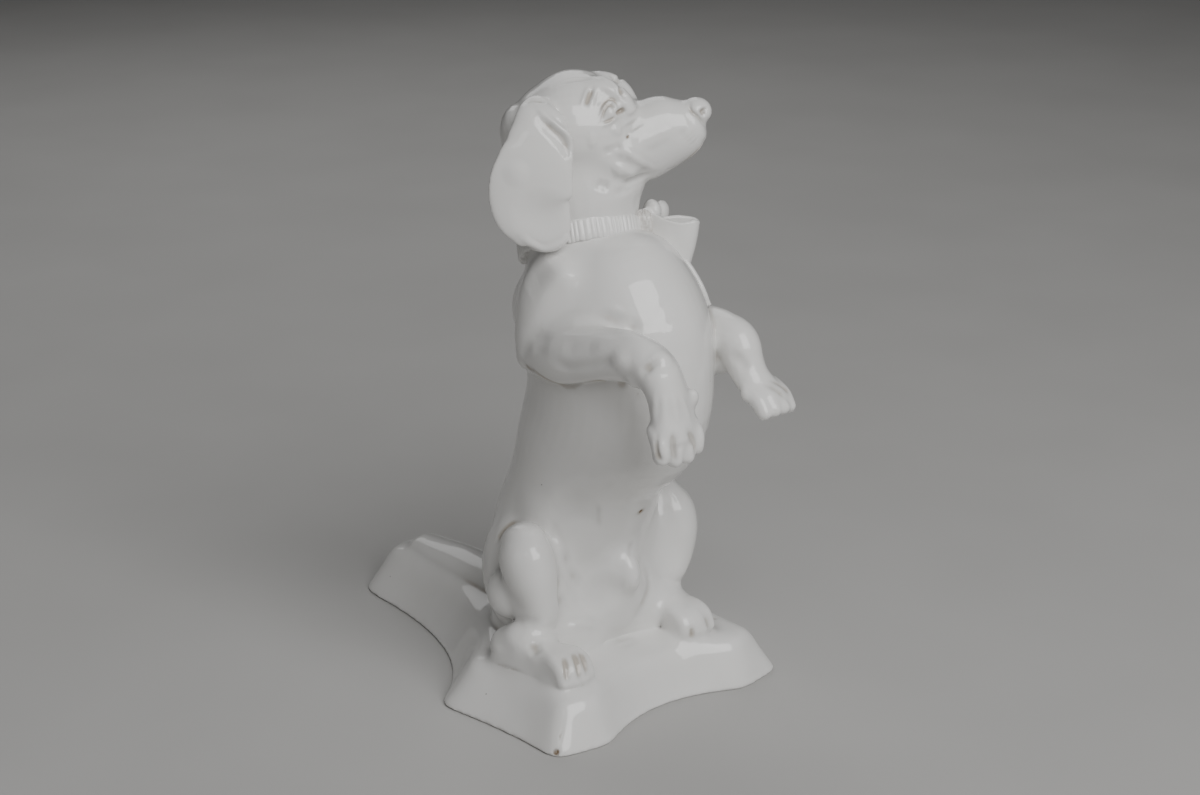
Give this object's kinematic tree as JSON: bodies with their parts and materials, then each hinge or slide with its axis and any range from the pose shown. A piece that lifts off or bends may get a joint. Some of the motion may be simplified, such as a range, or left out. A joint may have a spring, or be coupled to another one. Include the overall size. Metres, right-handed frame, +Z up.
{
  "type": "ceramic dog figurine",
  "caption": "Glazed ceramic figure of a long-eared dog sitting up to beg on a star-shaped plinth, with a pleated ribbon collar and bow.",
  "frame": {"origin": "middle of the figure's outline in plan, on the underside that it rests on", "axes": "+Z up, -Y the way the chest and the hind feet face, +X towards the dog's left"},
  "size_m": [0.1962, 0.3166, 0.3753],
  "materials": {
    "glaze": "gloss white glaze over a fired clay body"
  },
  "bodies": {
    "root": {"plinth": "glaze", "torso": "glaze", "head": "glaze", "ear_right": "glaze", "ear_left": "glaze", "foreleg_right": "glaze", "foreleg_left": "glaze", "thigh_right": "glaze", "thigh_left": "glaze", "hind_foot_right": "glaze", "hind_foot_left": "glaze", "tail": "glaze", "collar": "glaze", "bow_knot": "glaze", "bow_loop_right": "glaze", "bow_loop_left": "glaze", "ribbon_end_right": "glaze", "ribbon_end_left": "glaze"}
  },
  "joints": []
}
